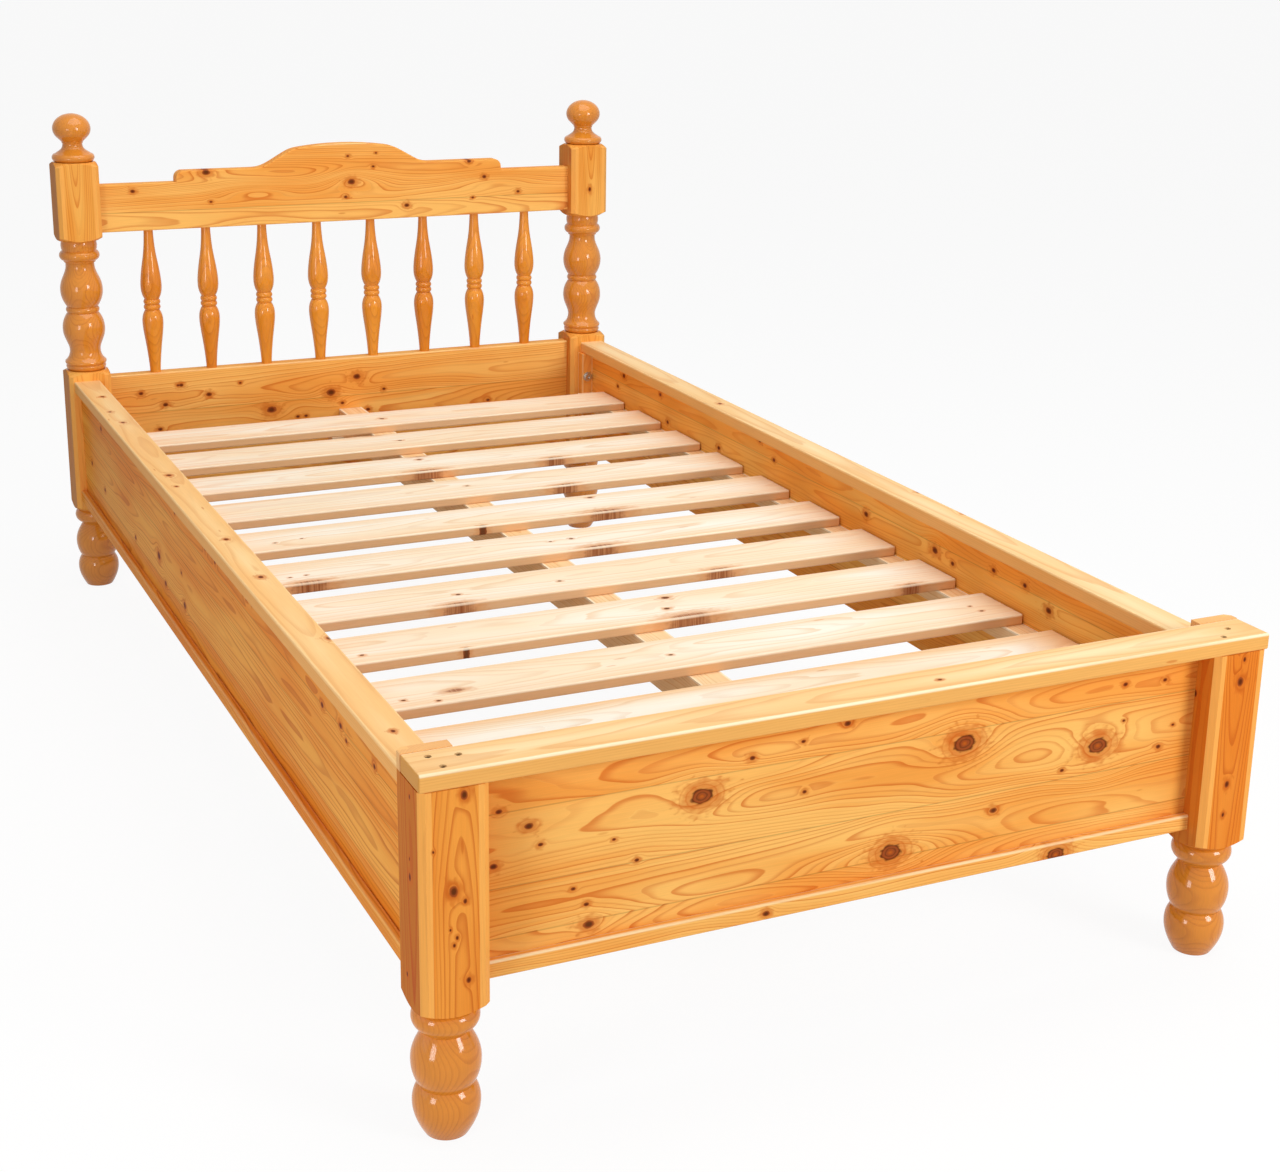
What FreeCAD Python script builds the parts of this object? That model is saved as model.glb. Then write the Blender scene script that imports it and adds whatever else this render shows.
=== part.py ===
import FreeCAD, Part
import math
import os

# A single spindle bed in pine. X runs across the bed, Y from its foot to its head and Z up. The
# origin is on the floor under the middle of the bed. Lengths are in millimetres.

# Mattress that the frame holds, and its play to the posts and to the two end panels
mattress_width = 900.0
mattress_length = 1900.0
mattress_side_play = 5.0
mattress_end_play = 6.0

# Fits
joint_clearance = 0.3
pin_clearance = 0.2
board_rounding = 2.5

# Posts: square stock with chamfered corners. Where a turning begins, the square is cut back to a
# cone: it starts this far in from the faces and falls this much for each millimetre outwards.
post_size = 75.0
post_chamfer = 6.5
pommel_inset = 2.5
pommel_slope = 0.55

# Heights, from the floor upwards
rail_rise = 22.0
side_panel_height = 204.0
foot_panel_height = 232.0
cap_thickness = 20.0
head_block_rise = 16.0
spindle_length = 264.0
top_rail_height = 85.0
upper_block_drop = 12.0
upper_block_rise = 43.0

# Foot end: depths from the front face of the posts
foot_panel_recess = 34.0
foot_panel_thickness = 20.0
foot_cap_depth = 58.0
stub_width = 56.0
stub_gap = 0.5

# Side rails: insets from the outer face of the posts
side_panel_inset = 18.0
side_panel_thickness = 20.0
side_cap_inset = 8.0
side_cap_width = 46.0

# Strips along the outer bottom edge of the rails and of the foot panel
ledge_thickness = 10.0
ledge_height = 20.0

# Head end
head_panel_thickness = 26.0
top_rail_thickness = 26.0
crest_end_gap = 140.0
crest_step = 20.0
crest_rounding = 14.0
crown_half_width = 172.0
crown_shoulder = (38.0, 12.0)
crown_slope = (61.0, 25.0)
crown_brow = (87.0, 34.0)
crown_rise = 40.0
spindle_pitch = 105.0
spindle_end_gap = 30.0

# Tenons: thickness, length, and how far they stay inside the edges of their board
side_tenon = (10.0, 12.0)
foot_tenon = (10.0, 20.0)
head_tenon = (14.0, 20.0)
top_rail_tenon_inset = 10.0
bolt_to_tenon = 15.0
spindle_tenon_radius = 6.0
spindle_tenon_length = 15.0

# Slats and what carries them. The first and the last slat keep these gaps to the corner cleats.
slat_count = 11
slat_level = 125.0
slat_width = 100.0
slat_thickness = 15.0
first_slat_gap = 1.0
last_slat_gap = 61.5
slat_end_gap = 2.0
ledger_width = 32.0
ledger_height = 22.0
cleat_size = 22.0
centre_rail_width = 44.0
centre_rail_height = 50.0
centre_rail_end_gap = 1.0
bearer_width = 90.0
bearer_depth = 25.0
bearer_height = 40.0

# Corner bolts, with their washers and the threaded inserts in the posts
bolt_radius = 4.0
bolt_head_radius = 6.5
bolt_head_height = 5.0
bolt_socket_radius = 2.9
bolt_socket_depth = 3.0
bolt_reach = 16.0
bolt_below_ledger = 60.0
bolt_above_slats = 18.0
washer_radius = 9.5
washer_thickness = 2.0
insert_radius = 6.0
insert_length = 20.0

# Wood screws and dowel pegs
screw_radius = 2.0
screw_head_radius = 3.8
screw_head_height = 2.4
screw_bite = 14.0
cap_screw_bite = 28.0
cap_screw_recess = 2.5
cap_screws_left = ((24.0, 42.0), (54.0, 36.0), (30.0, 14.0))
cap_screws_right = ((36.0, 33.0), (60.0, 12.0))
bearer_screw_spacing = 60.0
screwed_bays = (0, 2, 4, 5, 7, 9)
peg_radius = 4.0
peg_in_ledger = 12.0
peg_in_slat = 10.0
rail_pin_length = 40.0

# Turned outlines, upwards. Each has a radius to start from, and then cuts. A cut is a height and
# the radii that it reaches at even steps of that height: one radius makes a straight cut, two make
# an arc, more make a curve, and none makes a dome that closes on the axis.
foot_start = 24.0
foot_cuts = (
    (57.0, (30.3, 34.6, 36.4, 35.3, 29.5)),
    (62.0, (35.2, 37.4, 36.6, 32.2, 25.0)),
    (4.0, (28.0,)),
    (24.5, (36.3, 31.0)),
    (2.5, (31.0,)),
)
head_start = 30.5
head_base_cuts = ((10.5, (35.2, 34.0)), (6.5, (36.6, 36.0)))
head_lower_vase = (28.4, 27.4, 30.8, 35.2, 37.3, 36.9, 33.9, 27.3)
head_ring_cut = (10.5, (29.7, 27.2))
head_upper_vase = (33.0, 36.4, 37.5, 36.6, 33.7, 29.2, 25.9, 25.5)
head_upper_vase_height = 80.0
head_crown_cuts = (
    (1.5, (28.0,)),
    (2.5, (28.2,)),
    (18.0, (35.6, 30.2)),
    (16.0, (31.8, 31.0)),
    (2.5, (31.0,)),
)
finial_start = 31.0
finial_cuts = (
    (14.5, (37.0, 31.0)),
    (17.0, (24.6, 19.6, 17.6, 17.3)),
    (1.5, (18.4,)),
    (2.0, (18.8,)),
    (22.5, (24.6, 29.6, 32.2, 33.0)),
    (26.5, ()),
)
spindle_start = 9.5
spindle_lower_vase = (10.4, 11.7, 13.3, 15.2, 17.2, 18.7, 18.4, 12.8)
spindle_lower_vase_height = 117.0
spindle_bead_cut = (9.8, (15.2, 13.0))
spindle_upper_vase = (18.5, 18.8, 17.2, 14.8, 12.1, 10.1, 8.9, 8.3)

# Sizes that follow
bed_width = mattress_width + 2 * mattress_side_play + 2 * post_size
head_panel_setback = (post_size - head_panel_thickness) / 2
foot_panel_back = foot_panel_recess + foot_panel_thickness
head_panel_front = foot_panel_back + mattress_length + 2 * mattress_end_play
bed_length = head_panel_front + head_panel_thickness + head_panel_setback
half_span = bed_width / 2 - post_size
head_post_front = bed_length - post_size
head_post_middle = bed_length - post_size / 2

foot_block_bottom = sum(height for height, radii in foot_cuts)
rail_bottom = foot_block_bottom + rail_rise
side_panel_top = rail_bottom + side_panel_height
side_cap_top = side_panel_top + cap_thickness
foot_panel_top = rail_bottom + foot_panel_height
foot_cap_top = foot_panel_top + cap_thickness
head_panel_top = side_cap_top
head_block_top = head_panel_top + head_block_rise
top_rail_bottom = head_panel_top + spindle_length
top_rail_top = top_rail_bottom + top_rail_height
upper_block_bottom = top_rail_bottom - upper_block_drop
upper_block_top = top_rail_top + upper_block_rise
head_turning_height = upper_block_bottom - head_block_top

slat_bottom = rail_bottom + slat_level
slat_top = slat_bottom + slat_thickness
ledger_bottom = slat_bottom - ledger_height
centre_rail_bottom = slat_bottom - centre_rail_height
bolt_levels = (ledger_bottom - bolt_below_ledger, slat_top + bolt_above_slats)
low_tenon_levels = (bolt_levels[0] + bolt_to_tenon, bolt_levels[1] - bolt_to_tenon)

side_panel_inner = side_panel_inset + side_panel_thickness
cleat_inner = side_panel_inner + cleat_size
ledger_inner = side_panel_inner + ledger_width
bolt_inset = (side_panel_inner + cleat_inner) / 2
foot_cleat_face = post_size + cleat_size
head_cleat_face = head_post_front - cleat_size
first_slat = foot_cleat_face + first_slat_gap
last_slat = head_cleat_face - last_slat_gap - slat_width
slat_pitch = (last_slat - first_slat) / (slat_count - 1)
spindle_pairs = int((half_span - spindle_end_gap) / spindle_pitch + 0.5)

EAST = FreeCAD.Vector(1, 0, 0)
NORTH = FreeCAD.Vector(0, 1, 0)
UP = FreeCAD.Vector(0, 0, 1)
ORIGIN = FreeCAD.Vector(0, 0, 0)
SIDES = {"left": -1, "right": 1}


# ---- places and plain shapes

def across(side, inset):
    """X at a distance in from the bed's outer face: side is -1 on the left and +1 on the right."""
    return side * (bed_width / 2 - inset)


def along(distance):
    """Y at a distance from the front of the foot end."""
    return distance - bed_length / 2


def span(side, inset, other_inset):
    """The pair of X values between two insets on one side."""
    return across(side, inset), across(side, other_inset)


def run(distance, other_distance):
    """The pair of Y values between two distances from the front."""
    return along(distance), along(other_distance)


def about(middle, width):
    """The two ends of a width about its middle."""
    return middle - width / 2, middle + width / 2


def wider(ends, clearance):
    """A pair of ends moved apart by a clearance each."""
    return min(ends) - clearance, max(ends) + clearance


def box(x_ends, y_ends, z_ends):
    corner = FreeCAD.Vector(min(x_ends), min(y_ends), min(z_ends))
    sizes = [abs(ends[1] - ends[0]) for ends in (x_ends, y_ends, z_ends)]
    return Part.makeBox(sizes[0], sizes[1], sizes[2], corner)


def pocket(x_ends, y_ends, z_ends):
    """The hollow that a tenon fits, with clearance all round."""
    ends = [wider(pair, joint_clearance) for pair in (x_ends, y_ends, z_ends)]
    return box(ends[0], ends[1], ends[2])


def edges_along(shape, direction):
    """The straight edges that run in one direction."""
    edges = []
    for edge in shape.Edges:
        step = edge.Vertexes[-1].Point - edge.Vertexes[0].Point
        if step.Length > 0 and abs(step.normalize().dot(direction)) > 0.999:
            edges.append(edge)
    return edges


def board(x_ends, y_ends, z_ends, grain):
    """A board whose long edges, those along its grain, are rounded."""
    plain = box(x_ends, y_ends, z_ends)
    return plain.makeFillet(board_rounding, edges_along(plain, grain))


def loose_board(x_ends, y_ends, z_ends):
    """A board whose ends show, so that all its edges are rounded."""
    plain = box(x_ends, y_ends, z_ends)
    return plain.makeFillet(board_rounding, plain.Edges)


def rod(start, direction, radius, length):
    return Part.makeCylinder(radius, length, start, direction)


def turned(x, y, z, start_radius, cuts):
    """A turned solid about the vertical through x, y, whose cuts go up from the height z."""
    point = FreeCAD.Vector(start_radius, 0, 0)
    edges = [Part.makeLine(ORIGIN, point)]
    for height, radii in cuts:
        steps = len(radii)
        level = point.z
        stops = [FreeCAD.Vector(radius, 0, level + height * (place + 1) / steps)
                 for place, radius in enumerate(radii)]
        if steps == 0:
            stops = [FreeCAD.Vector(0, 0, level + height)]
            edges.append(dome_edge(point, stops[0]))
        elif steps == 1:
            edges.append(Part.makeLine(point, stops[0]))
        elif steps == 2:
            edges.append(Part.Arc(point, stops[0], stops[1]).toShape())
        else:
            curve = Part.BSplineCurve()
            curve.interpolate([point] + stops)
            edges.append(curve.toShape())
        point = stops[-1]
    top = FreeCAD.Vector(0, 0, point.z)
    if point.x > 0:
        edges.append(Part.makeLine(point, top))
    edges.append(Part.makeLine(top, ORIGIN))
    outline = Part.Face(Part.Wire(edges))
    solid = outline.revolve(ORIGIN, UP, 360)
    solid.translate(FreeCAD.Vector(x, y, z))
    return solid


def dome_edge(rim, top):
    """A quarter of an ellipse, upright at its rim and level at its top on the axis."""
    reach = 4 / 3 * math.tan(math.pi / 8)
    over_rim = rim + UP * (reach * (top.z - rim.z))
    beside_top = top + EAST * (reach * rim.x)
    curve = Part.BezierCurve()
    curve.setPoles([rim, over_rim, beside_top, top])
    return curve.toShape()


# ---- fasteners and their holes

def screw(face_point, direction, length, recess=0.0):
    """A countersunk screw, driven from a face in a direction, its head sunk by the recess."""
    head_point = face_point + direction * recess
    head = Part.makeCone(screw_head_radius, screw_radius, screw_head_height, head_point, direction)
    return head.fuse(rod(head_point, direction, screw_radius, length))


def screw_hole(face_point, direction, length, recess=0.0):
    """The hole for such a screw, with the way in above its sunk head."""
    head_point = face_point + direction * recess
    head_radius = screw_head_radius + pin_clearance
    shank_radius = screw_radius + pin_clearance
    hole = Part.makeCone(head_radius, shank_radius, screw_head_height, head_point, direction)
    hole = hole.fuse(rod(head_point, direction, shank_radius, length + joint_clearance))
    if recess > 0:
        hole = hole.fuse(rod(face_point, direction, head_radius, recess))
    return hole


def pin_hole(start, direction, radius, length):
    """A hole round a pin of this radius and length, with clearance, also at both its ends."""
    mouth = start - direction * joint_clearance
    return rod(mouth, direction, radius + pin_clearance, length + 2 * joint_clearance)


def bolt(head_face, direction, length):
    """A socket bolt, from the face under its head in the direction of its shank."""
    head_top = head_face - direction * bolt_head_height
    head = rod(head_top, direction, bolt_head_radius, bolt_head_height)
    socket = hexagon(head_top, direction, bolt_socket_radius, bolt_socket_depth)
    return head.cut(socket).fuse(rod(head_face, direction, bolt_radius, length))


def hexagon(centre, direction, radius, depth):
    """A six-sided prism about a level axis."""
    beside = direction.cross(UP)
    corners = []
    for corner in range(7):
        turn = corner * math.pi / 3
        corners.append(centre + beside * (radius * math.cos(turn)) + UP * (radius * math.sin(turn)))
    return Part.Face(Part.makePolygon(corners)).extrude(direction * depth)


# ---- holes that more than one piece shares

def corner_bolt_places():
    """For each corner bolt: its side, its end, the cleat's free face and the way into the post."""
    places = []
    for side_name, side in SIDES.items():
        for end_name, face, direction in (("foot", foot_cleat_face, -NORTH),
                                          ("head", head_cleat_face, NORTH)):
            for level in bolt_levels:
                point = FreeCAD.Vector(across(side, bolt_inset), along(face), level)
                places.append((side_name, end_name, point, direction))
    return places


def insert_bores(side_name, end_name):
    """The bores for the threaded inserts of one post."""
    bores = []
    for bolt_side, bolt_end, point, direction in corner_bolt_places():
        if (bolt_side, bolt_end) == (side_name, end_name):
            mouth = point + direction * cleat_size
            bores.append(pin_hole(mouth, direction, insert_radius, insert_length))
    return bores


def cap_screw_points(side_name):
    """Where the foot cap's screws enter its top, over one post."""
    places = cap_screws_left if side_name == "left" else cap_screws_right
    side = SIDES[side_name]
    return [FreeCAD.Vector(across(side, from_end), along(from_front), foot_cap_top)
            for from_end, from_front in places]


def side_tenon_bar(side):
    """The bar that stands out of both ends of a side panel as its tenons."""
    middle = across(side, side_panel_inset + side_panel_thickness / 2)
    thickness, length = side_tenon
    return about(middle, thickness), run(post_size - length, head_post_front + length), low_tenon_levels


def foot_tenon_bar():
    thickness, length = foot_tenon
    middle = along(foot_panel_recess + foot_panel_thickness / 2)
    return wider((-half_span, half_span), length), about(middle, thickness), low_tenon_levels


def head_tenon_bar():
    thickness, length = head_tenon
    middle = along(head_post_middle)
    return wider((-half_span, half_span), length), about(middle, thickness), low_tenon_levels


def top_rail_tenon_bar():
    thickness, length = head_tenon
    levels = (top_rail_bottom + top_rail_tenon_inset, top_rail_top - top_rail_tenon_inset)
    return wider((-half_span, half_span), length), about(along(head_post_middle), thickness), levels


# ---- posts

def post_block(x, y, z_ends, turned_above):
    """The square part of a post, its ends cut back to a cone towards each turning."""
    bottom, top = z_ends
    rim_radius = post_size / 2 - pommel_inset
    corner_radius = post_size / math.sqrt(2)
    fall = pommel_slope * (corner_radius - rim_radius)
    square = box(about(x, post_size), about(y, post_size), z_ends)
    square = square.makeChamfer(post_chamfer, edges_along(square, UP))
    if turned_above:
        cuts = [(fall, (corner_radius,)), (top - bottom - 2 * fall, (corner_radius,)), (fall, (rim_radius,))]
    else:
        cuts = [(fall, (corner_radius,)), (top - bottom - fall, (corner_radius,))]
    return square.common(turned(x, y, bottom, rim_radius, cuts))


def head_turning_cuts():
    """The long turning between the blocks of a head post: the lower vase takes up the length."""
    fixed = sum(height for height, radii in head_base_cuts + (head_ring_cut,) + head_crown_cuts)
    lower_vase_height = head_turning_height - fixed - head_upper_vase_height
    lower_vase_cut = (lower_vase_height, head_lower_vase)
    upper_vase_cut = (head_upper_vase_height, head_upper_vase)
    return head_base_cuts + (lower_vase_cut, head_ring_cut, upper_vase_cut) + head_crown_cuts


def head_post(side_name):
    """A head post, turned and squared from one length: foot, block, vases, block and finial."""
    side = SIDES[side_name]
    x = across(side, post_size / 2)
    y = along(head_post_middle)
    post = turned(x, y, 0, foot_start, foot_cuts)
    post = post.fuse(post_block(x, y, (foot_block_bottom, head_block_top), True))
    post = post.fuse(turned(x, y, head_block_top, head_start, head_turning_cuts()))
    post = post.fuse(post_block(x, y, (upper_block_bottom, upper_block_top), True))
    post = post.fuse(turned(x, y, upper_block_top, finial_start, finial_cuts))
    post = post.cut(pocket(*side_tenon_bar(side)))
    post = post.cut(pocket(*head_tenon_bar()))
    post = post.cut(pocket(*top_rail_tenon_bar()))
    return post.cut(insert_bores(side_name, "head"))


def foot_post(side_name):
    """A foot post: it is cut down under the cap, with a stub left standing behind it."""
    side = SIDES[side_name]
    x = across(side, post_size / 2)
    y = along(post_size / 2)
    post = turned(x, y, 0, foot_start, foot_cuts)
    post = post.fuse(post_block(x, y, (foot_block_bottom, foot_cap_top), False))
    above = (foot_panel_top, foot_cap_top)
    post = post.cut(box(span(side, 0, post_size), run(0, foot_cap_depth + stub_gap), above))
    post = post.cut(box(span(side, stub_width, post_size), run(0, post_size), above))
    post = post.cut(pocket(*side_tenon_bar(side)))
    post = post.cut(pocket(*foot_tenon_bar()))
    post = post.cut(insert_bores(side_name, "foot"))
    length = cap_thickness - cap_screw_recess + cap_screw_bite
    return post.cut([screw_hole(point, -UP, length, cap_screw_recess)
                     for point in cap_screw_points(side_name)])


# ---- head end

def spindle_places():
    """X of each spindle, in even steps from the middle outwards."""
    offsets = [(pair + 0.5) * spindle_pitch for pair in range(spindle_pairs)]
    return sorted([-offset for offset in offsets] + offsets)


def spindle(x):
    """A double vase with two beads between, and a round tenon at each end."""
    y = along(head_post_middle)
    beads = (spindle_bead_cut, spindle_bead_cut)
    upper_height = spindle_length - spindle_lower_vase_height - 2 * spindle_bead_cut[0]
    cuts = ((spindle_lower_vase_height, spindle_lower_vase),) + beads + ((upper_height, spindle_upper_vase),)
    body = turned(x, y, head_panel_top, spindle_start, cuts)
    low_end = FreeCAD.Vector(x, y, head_panel_top - spindle_tenon_length)
    length = spindle_length + 2 * spindle_tenon_length
    return body.fuse(rod(low_end, UP, spindle_tenon_radius, length))


def spindle_holes():
    """One hole a spindle, from the bottom of its lower tenon to the top of its upper one."""
    length = spindle_length + 2 * spindle_tenon_length
    holes = []
    for x in spindle_places():
        start = FreeCAD.Vector(x, along(head_post_middle), head_panel_top - spindle_tenon_length)
        holes.append(pin_hole(start, UP, spindle_tenon_radius, length))
    return holes


def headboard_panel():
    """The solid board under the spindles."""
    faces = about(along(head_post_middle), head_panel_thickness)
    panel = board((-half_span, half_span), faces, (rail_bottom, head_panel_top), EAST)
    panel = panel.fuse(box(*head_tenon_bar()))
    panel = panel.cut(spindle_holes())
    return panel.cut(bearer_screw_holes())


def crown_curve(side):
    """The sweep from the flat of the crest up to its brow, on one side."""
    crest = top_rail_top + crest_step
    stops = [FreeCAD.Vector(side * crown_half_width, 0, crest)]
    for inwards, rise in (crown_shoulder, crown_slope, crown_brow):
        stops.append(FreeCAD.Vector(side * (crown_half_width - inwards), 0, crest + rise))
    brow = stops[-1]
    top = FreeCAD.Vector(0, 0, crest + crown_rise)
    half_turn = math.atan2(top.z - brow.z, abs(brow.x))
    inwards = FreeCAD.Vector(-side * math.cos(2 * half_turn), 0, math.sin(2 * half_turn))
    curve = Part.BSplineCurve()
    curve.interpolate(Points=stops, InitialTangent=FreeCAD.Vector(-side, 0, 0), FinalTangent=inwards)
    return curve.toShape(), brow


def crest_end(side):
    """The step at one end of the crest: a short upright and a quarter round onto the flat."""
    crest = top_rail_top + crest_step
    x = side * (half_span - crest_end_gap)
    foot = FreeCAD.Vector(x, 0, top_rail_top)
    spring = FreeCAD.Vector(x, 0, crest - crest_rounding)
    bend = crest_rounding * (1 - math.sqrt(0.5))
    middle = FreeCAD.Vector(x - side * bend, 0, crest - bend)
    landing = FreeCAD.Vector(x - side * crest_rounding, 0, crest)
    flat_end = FreeCAD.Vector(side * crown_half_width, 0, crest)
    edges = [Part.makeLine(foot, spring), Part.Arc(spring, middle, landing).toShape(),
             Part.makeLine(landing, flat_end)]
    return edges, foot


def headboard_top_rail():
    """The crested rail over the spindles: square ends, a stepped shoulder and a low crown."""
    left_edges, left_foot = crest_end(-1)
    right_edges, right_foot = crest_end(1)
    left_sweep, left_brow = crown_curve(-1)
    right_sweep, right_brow = crown_curve(1)
    top = FreeCAD.Vector(0, 0, top_rail_top + crest_step + crown_rise)
    corners = [FreeCAD.Vector(-half_span, 0, top_rail_top), FreeCAD.Vector(-half_span, 0, top_rail_bottom),
               FreeCAD.Vector(half_span, 0, top_rail_bottom), FreeCAD.Vector(half_span, 0, top_rail_top)]
    edges = left_edges + right_edges + [left_sweep, right_sweep]
    edges.append(Part.Arc(left_brow, top, right_brow).toShape())
    for start, end in zip([left_foot] + corners, corners + [right_foot]):
        edges.append(Part.makeLine(start, end))
    outline = Part.Face(Part.Wire(Part.__sortEdges__(edges)))
    rail = outline.extrude(NORTH * top_rail_thickness)
    face_edges = [edge for edge in rail.Edges if edge.BoundBox.YLength < board_rounding]
    long_edges = [edge for edge in face_edges if abs(edge.CenterOfMass.x) < half_span - board_rounding]
    rail = rail.makeFillet(board_rounding, long_edges)
    rail.translate(NORTH * (along(head_post_middle) - top_rail_thickness / 2))
    rail = rail.fuse(box(*top_rail_tenon_bar()))
    return rail.cut(spindle_holes())


# ---- foot end

def foot_panel():
    """The board between the foot posts, tenoned into them."""
    faces = run(foot_panel_recess, foot_panel_back)
    panel = box((-half_span, half_span), faces, (rail_bottom, foot_panel_top))
    panel = panel.fuse(box(*foot_tenon_bar()))
    return panel.cut(bearer_screw_holes())


def foot_cap():
    """The plank that lies on the foot panel and over both posts, screwed down into the posts."""
    width = (-bed_width / 2, bed_width / 2)
    cap = loose_board(width, run(0, foot_cap_depth), (foot_panel_top, foot_cap_top))
    length = cap_thickness - cap_screw_recess + cap_screw_bite
    for side_name in SIDES:
        for point in cap_screw_points(side_name):
            cap = cap.cut(screw_hole(point, -UP, length, cap_screw_recess))
    return cap


def foot_cap_screws():
    length = cap_thickness - cap_screw_recess + cap_screw_bite
    points = cap_screw_points("left") + cap_screw_points("right")
    return Part.makeCompound([screw(point, -UP, length, cap_screw_recess) for point in points])


def foot_ledge():
    """The strip along the front of the foot panel's bottom edge."""
    faces = run(foot_panel_recess - ledge_thickness, foot_panel_recess)
    return board((-half_span, half_span), faces, (rail_bottom, rail_bottom + ledge_height), EAST)


# ---- side rails

def side_rail_panel(side):
    """The upright board of a side rail, tenoned into the posts at both ends."""
    faces = span(side, side_panel_inset, side_panel_inner)
    panel = box(faces, run(post_size, head_post_front), (rail_bottom, side_panel_top))
    panel = panel.fuse(box(*side_tenon_bar(side)))
    return panel.cut([screw_hole(point, direction, length)
                      for point, direction, length in ledger_screw_places(side)])


def side_rail_cap(side):
    """The flat plank on top of a side rail."""
    width = span(side, side_cap_inset, side_cap_inset + side_cap_width)
    return board(width, run(post_size, head_post_front), (side_panel_top, side_cap_top), NORTH)


def side_rail_ledge(side):
    """The strip along the outside of a side rail's bottom edge."""
    width = span(side, side_panel_inset - ledge_thickness, side_panel_inset)
    levels = (rail_bottom, rail_bottom + ledge_height)
    return board(width, run(post_size, head_post_front), levels, NORTH)


def corner_cleat(side, post_face, cleat_face):
    """The upright block in a corner that the bolts pull against its post."""
    levels = (rail_bottom, side_panel_top)
    cleat = box(span(side, side_panel_inner, cleat_inner), run(post_face, cleat_face), levels)
    holes = []
    for side_name, end_name, point, direction in corner_bolt_places():
        holes.append(rod(point, direction, bolt_radius + pin_clearance, cleat_size))
    return cleat.cut(holes)


def slat_front(number):
    """Distance of a slat's front edge from the front of the bed."""
    return first_slat + number * slat_pitch


def ledger_screw_places(side):
    """Each ledger screw's point on the ledger's inner face, its direction and its length.

    The screws are in the middle of the screwed bays. Bay 0 is between the first two slats.
    """
    level = (ledger_bottom + slat_bottom) / 2
    direction = EAST * side
    places = []
    for bay in screwed_bays:
        middle = (slat_front(bay) + slat_width + slat_front(bay + 1)) / 2
        point = FreeCAD.Vector(across(side, ledger_inner), along(middle), level)
        places.append((point, direction, ledger_width + screw_bite))
    return places


def peg_places(side):
    """The bottom of each peg between a slat and the ledger on one side."""
    inset = (side_panel_inner + slat_end_gap + ledger_inner) / 2
    return [FreeCAD.Vector(across(side, inset), along(slat_front(number) + slat_width / 2),
                           slat_bottom - peg_in_ledger) for number in range(slat_count)]


def slat_ledger(side):
    """The batten inside a side rail that the slats lie on."""
    width = span(side, side_panel_inner, ledger_inner)
    ledger = box(width, run(foot_cleat_face, head_cleat_face), (ledger_bottom, slat_bottom))
    holes = [screw_hole(point, direction, length)
             for point, direction, length in ledger_screw_places(side)]
    holes += [pin_hole(point, UP, peg_radius, peg_in_ledger + peg_in_slat) for point in peg_places(side)]
    return ledger.cut(holes)


# ---- slats and the centre rail

def slat(number):
    """One cross slat, pegged to both ledgers."""
    inset = side_panel_inner + slat_end_gap
    front = slat_front(number)
    board_ends = (across(-1, inset), across(1, inset))
    plank = loose_board(board_ends, run(front, front + slat_width), (slat_bottom, slat_top))
    holes = []
    for side in SIDES.values():
        point = peg_places(side)[number]
        holes.append(pin_hole(point, UP, peg_radius, peg_in_ledger + peg_in_slat))
    return plank.cut(holes)


def rail_pin_places():
    """The bottom of the pin at each end of the centre rail, over the middle of its bearer."""
    level = centre_rail_bottom - rail_pin_length / 2
    distances = (foot_panel_back + bearer_depth / 2, head_panel_front - bearer_depth / 2)
    return [FreeCAD.Vector(0, along(distance), level) for distance in distances]


def rail_pin_holes():
    return [pin_hole(point, UP, peg_radius, rail_pin_length) for point in rail_pin_places()]


def centre_rail():
    """The beam under the middle of the slats."""
    width = about(0, centre_rail_width)
    length = run(foot_panel_back + centre_rail_end_gap, head_panel_front - centre_rail_end_gap)
    return box(width, length, (centre_rail_bottom, slat_bottom)).cut(rail_pin_holes())


def bearer_screw_places():
    """Each bearer screw's point on the bearer's free face, and its direction into the panel."""
    level = centre_rail_bottom - bearer_height / 2
    ends = ((foot_panel_back + bearer_depth, -NORTH), (head_panel_front - bearer_depth, NORTH))
    places = []
    for distance, direction in ends:
        for x in about(0, bearer_screw_spacing):
            places.append((FreeCAD.Vector(x, along(distance), level), direction))
    return places


def bearer_screw_holes():
    return [screw_hole(point, direction, bearer_depth + screw_bite)
            for point, direction in bearer_screw_places()]


def centre_rail_bearer(near, far):
    """The block on an end panel that carries the centre rail."""
    levels = (centre_rail_bottom - bearer_height, centre_rail_bottom)
    block = box(about(0, bearer_width), run(near, far), levels)
    return block.cut(bearer_screw_holes() + rail_pin_holes())


# ---- groups of like fasteners

def ledger_screws():
    places = ledger_screw_places(-1) + ledger_screw_places(1)
    return Part.makeCompound([screw(point, direction, length) for point, direction, length in places])


def slat_pegs():
    places = peg_places(-1) + peg_places(1)
    return Part.makeCompound([rod(point, UP, peg_radius, peg_in_ledger + peg_in_slat) for point in places])


def centre_rail_pins():
    return Part.makeCompound([rod(point, UP, peg_radius, rail_pin_length) for point in rail_pin_places()])


def bearer_screws():
    length = bearer_depth + screw_bite
    return Part.makeCompound([screw(point, direction, length)
                              for point, direction in bearer_screw_places()])


def corner_bolts():
    length = washer_thickness + cleat_size + bolt_reach
    return Part.makeCompound([bolt(point - direction * washer_thickness, direction, length)
                              for side_name, end_name, point, direction in corner_bolt_places()])


def corner_washers():
    washers = []
    for side_name, end_name, point, direction in corner_bolt_places():
        outer_face = point - direction * washer_thickness
        disc = rod(outer_face, direction, washer_radius, washer_thickness)
        washers.append(disc.cut(rod(outer_face, direction, bolt_radius + pin_clearance, washer_thickness)))
    return Part.makeCompound(washers)


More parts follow.
